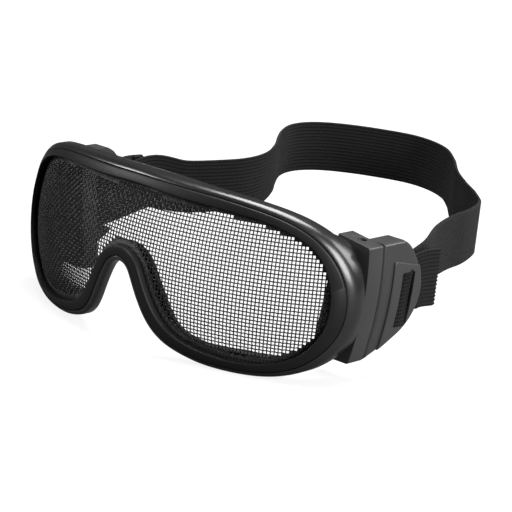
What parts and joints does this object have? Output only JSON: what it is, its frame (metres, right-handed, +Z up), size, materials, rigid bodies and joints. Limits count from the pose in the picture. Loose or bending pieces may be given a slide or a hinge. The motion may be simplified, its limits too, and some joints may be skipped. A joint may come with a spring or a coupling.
{
  "type": "mesh safety goggles",
  "caption": "Wraparound safety goggles with a woven wire-mesh lens in a curved plastic frame, side clips that swivel on hinge pins, and an adjustable elastic head strap.",
  "frame": {"origin": "under the middle of the whole object, with the strap as it lies in the picture, on the plane that the lowest edge of the rim touches", "axes": "+Z is up when worn, -Y is the way the wearer looks, and +X is the wearer's left"},
  "size_m": [0.1834, 0.253, 0.0756],
  "materials": {
    "frame_plastic": "satin black",
    "bezel_plastic": "matt black",
    "border_plastic": "matt dark grey",
    "coated_wire": "black coated wire",
    "soft_seal": "soft matt black",
    "clip_plastic": "satin dark grey",
    "pin_steel": "dark steel",
    "elastic_webbing": "woven black elastic"
  },
  "bodies": {
    "goggles": {"main_frame": "frame_plastic", "front_bezel": "bezel_plastic", "mesh_border": "border_plastic", "mesh_lens": "coated_wire", "face_seal": "soft_seal", "hinge_block_left": "clip_plastic", "hinge_block_right": "clip_plastic", "hinge_pin_left": "pin_steel", "hinge_pin_right": "pin_steel", "strap_band": "elastic_webbing"},
    "left_clip": {"strap_clip_left": "clip_plastic", "clip_cover_left": "clip_plastic", "strap_end_left": "elastic_webbing", "strap_hem_left": "elastic_webbing"},
    "right_clip": {"strap_clip_right": "clip_plastic", "clip_cover_right": "clip_plastic", "strap_end_right": "elastic_webbing", "strap_hem_right": "elastic_webbing"}
  },
  "joints": [
    {"name": "clip_hinge_left", "type": "hinge", "parent": "goggles", "child": "left_clip", "pos_m": [0.081, -0.07168, 0.0377], "axis": [0, 0, 1], "range_deg": [-4, 25]},
    {"name": "clip_hinge_right", "type": "hinge", "parent": "goggles", "child": "right_clip", "pos_m": [-0.081, -0.07168, 0.0377], "axis": [0, 0, -1], "range_deg": [-4, 25]}
  ]
}
